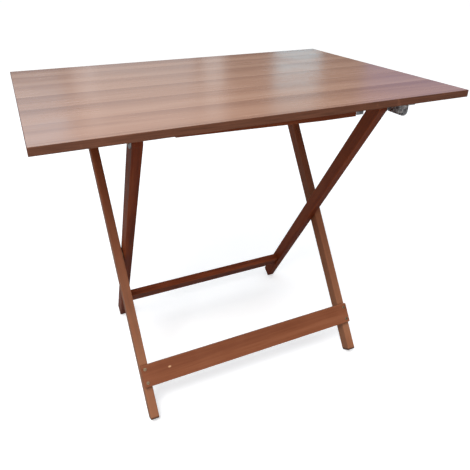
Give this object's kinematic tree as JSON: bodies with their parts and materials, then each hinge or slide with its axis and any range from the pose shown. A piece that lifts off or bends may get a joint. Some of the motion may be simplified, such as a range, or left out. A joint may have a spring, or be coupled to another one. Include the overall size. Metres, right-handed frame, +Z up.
{
  "type": "folding table",
  "caption": "Folding table: a rectangular laminated board hinged on a pair of crossed wooden leg frames that fold flat beneath it.",
  "frame": {"origin": "on the floor, under the middle of the board, with the legs open", "axes": "+X along the board's length, to the right as seen from the front; +Y from the hinged front edge to the back; +Z up"},
  "size_m": [0.85, 0.6, 0.724],
  "materials": {
    "laminate_top": "satin wood-effect laminate, plank figure along the board",
    "laminate_under": "matt wood-effect laminate",
    "chipboard": "raw chipboard core, hidden by its skins",
    "edge_band": "satin walnut-brown edge band",
    "stained_wood": "walnut-stained beech, satin",
    "stained_slat": "walnut-stained beech, satin",
    "galvanised": "galvanised sheet",
    "zinc": "zinc-plated steel"
  },
  "bodies": {
    "tabletop": {"board_core": "chipboard", "laminate_top": "laminate_top", "laminate_under": "laminate_under", "edge_band_front": "edge_band", "edge_band_back": "edge_band", "edge_band_left": "edge_band", "edge_band_right": "edge_band", "front_batten": "stained_wood", "batten_screw_1": "zinc", "batten_screw_2": "zinc", "batten_screw_3": "zinc", "hinge_bracket_left": "galvanised", "hinge_bracket_right": "galvanised", "stop_angle": "galvanised", "rail_hook_left": "galvanised", "rail_hook_right": "galvanised", "side_catch_plate": "galvanised", "bracket_screw_left_front": "zinc", "bracket_screw_left_back": "zinc", "bracket_screw_right_front": "zinc", "bracket_screw_right_back": "zinc", "catch_screw_front": "zinc", "catch_screw_back": "zinc", "stop_screw": "zinc", "hook_screw_left": "zinc", "hook_screw_right": "zinc"},
    "inner_frame": {"back_rung": "stained_wood", "inner_leg_left": "stained_wood", "rung_screw_left": "zinc", "hinge_bolt_left": "zinc", "hinge_insert_left": "zinc", "pivot_bolt_left": "zinc", "pivot_insert_left": "zinc", "inner_leg_right": "stained_wood", "rung_screw_right": "zinc", "hinge_bolt_right": "zinc", "hinge_insert_right": "zinc", "pivot_bolt_right": "zinc", "pivot_insert_right": "zinc"},
    "outer_frame": {"front_slat": "stained_slat", "top_rail": "stained_wood", "outer_leg_left": "stained_wood", "rail_screw_left": "zinc", "pivot_washer_left": "zinc", "slat_screw_left_lower": "zinc", "slat_screw_left_upper": "zinc", "outer_leg_right": "stained_wood", "rail_screw_right": "zinc", "pivot_washer_right": "zinc", "slat_screw_right_lower": "zinc", "slat_screw_right_upper": "zinc"}
  },
  "joints": [
    {"name": "front_hinge", "type": "hinge", "parent": "tabletop", "child": "inner_frame", "pos_m": [0, -0.231, 0.692], "axis": [1, 0, 0], "range_deg": [0, 51]},
    {"name": "leg_pivot", "type": "hinge", "parent": "inner_frame", "child": "outer_frame", "pos_m": [0, 0.006, 0.33663], "axis": [1, 0, 0], "range_deg": [-102, 0]}
  ],
  "couplings": [
    {"joint": "leg_pivot", "follows": "front_hinge", "ratio": -2}
  ]
}
